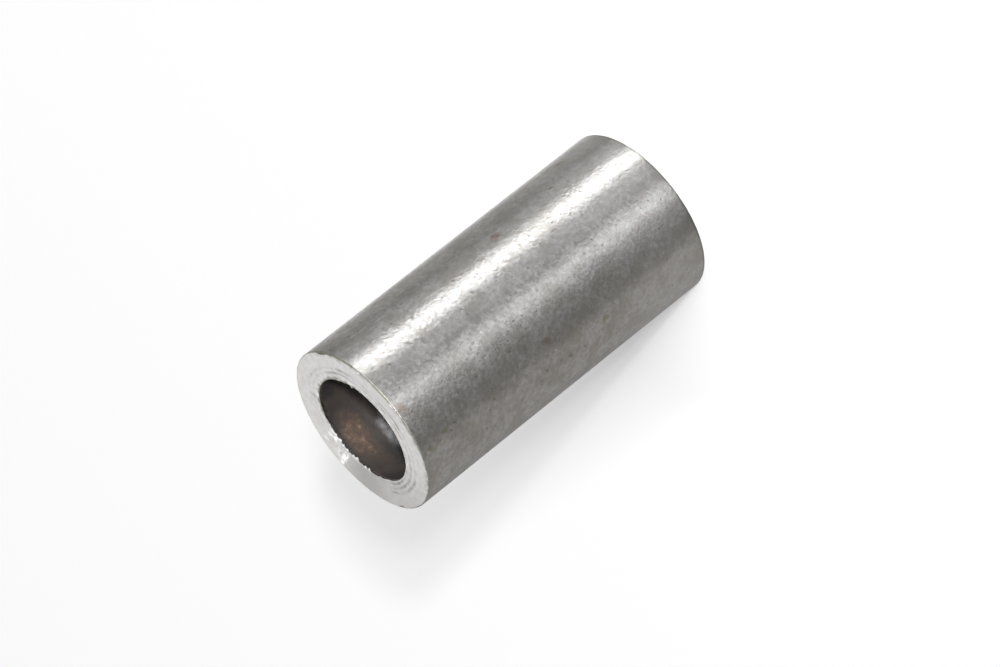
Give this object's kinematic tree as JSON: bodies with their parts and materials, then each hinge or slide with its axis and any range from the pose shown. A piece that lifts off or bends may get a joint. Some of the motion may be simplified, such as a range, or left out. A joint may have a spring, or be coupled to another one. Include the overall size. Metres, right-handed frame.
{
  "type": "plain bushing",
  "caption": "Plain round steel sleeve with a straight through bore and faced ends, pressed into a housing or slid over a bolt as a pivot sleeve or spacer.",
  "frame": {"origin": "centre of the lower end, on the surface that the sleeve stands on", "axes": "+Z along the bore, up towards the end that the picture shows"},
  "size_m": [0.019, 0.019, 0.0392],
  "materials": {
    "drawn_steel": "drawn and lightly pitted outside, faced at the ends"
  },
  "bodies": {
    "root": {"bushing": "drawn_steel"}
  },
  "joints": []
}
